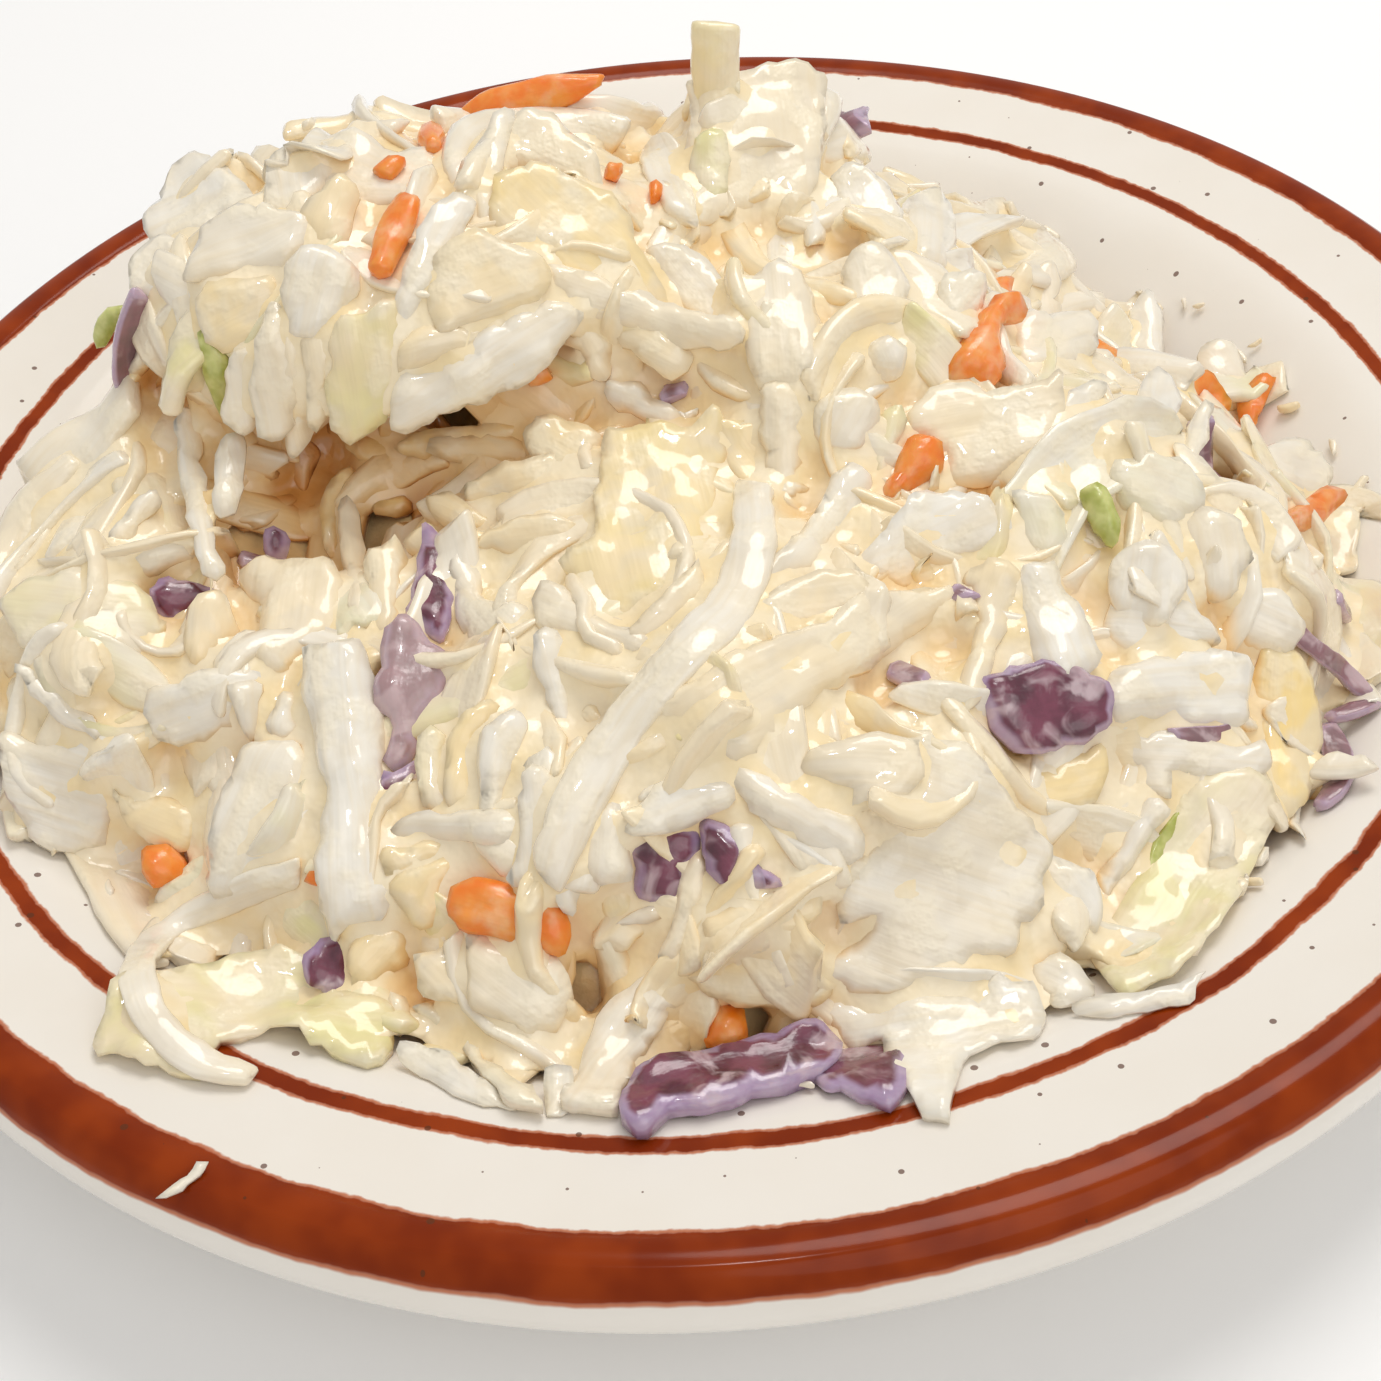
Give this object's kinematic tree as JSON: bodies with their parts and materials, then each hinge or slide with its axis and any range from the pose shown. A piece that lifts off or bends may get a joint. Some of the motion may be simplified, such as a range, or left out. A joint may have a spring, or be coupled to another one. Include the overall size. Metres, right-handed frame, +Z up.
{
  "type": "coleslaw on a plate",
  "caption": "Mounded helping of dressed cabbage, red cabbage and carrot slaw on a small round deep-rimmed diner plate with a foot ring.",
  "frame": {"origin": "middle of the plate's foot ring, on the surface that the plate stands on, which is the middle of the whole model's footprint", "axes": "+Z up, out of the plate; -Y towards the side that faces the diner, with the low wide front of the heap; +X to the diner's right"},
  "size_m": [0.165, 0.165, 0.0543],
  "materials": {
    "plate_glaze": "glossy warm white stoneware glaze with sparse brown speckles, a broad mottled brown band at the rim and a thin brown line inside it",
    "slaw": "moist cream and pale yellow cabbage in creamy dressing, with purple red-cabbage, orange carrot and green pieces"
  },
  "bodies": {
    "root": {"plate": "plate_glaze", "slaw": "slaw"}
  },
  "joints": []
}
